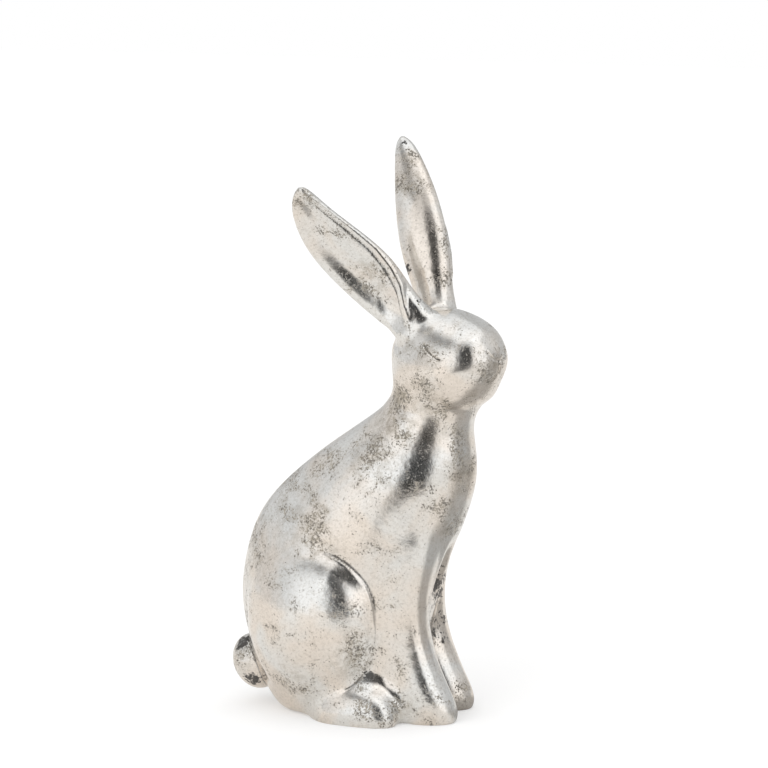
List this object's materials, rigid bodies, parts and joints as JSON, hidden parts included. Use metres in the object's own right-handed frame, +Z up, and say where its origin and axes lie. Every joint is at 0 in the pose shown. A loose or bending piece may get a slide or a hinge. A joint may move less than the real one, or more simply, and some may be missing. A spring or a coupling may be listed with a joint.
{
  "type": "ceramic rabbit figurine",
  "caption": "Hollow ceramic rabbit, seated with head turned and ears raised, in antiqued silver leaf, for standing on a shelf or table.",
  "frame": {"origin": "on the ground, in the middle of the flat standing face between the haunches and the forefeet", "axes": "+X forwards, the way the forefeet point; +Y to the rabbit's left; +Z up"},
  "size_m": [0.1549, 0.0917, 0.3063],
  "materials": {
    "silver_leaf": "fired earthenware under worn silver leaf, waxed, grey-brown clay showing through in specks and creases"
  },
  "bodies": {
    "root": {"torso_shell": "silver_leaf", "head_shell": "silver_leaf", "ear_left": "silver_leaf", "ear_right": "silver_leaf", "haunch_left": "silver_leaf", "haunch_right": "silver_leaf", "hind_foot_left": "silver_leaf", "hind_foot_right": "silver_leaf", "foreleg_left": "silver_leaf", "foreleg_right": "silver_leaf", "tail": "silver_leaf"}
  },
  "joints": []
}
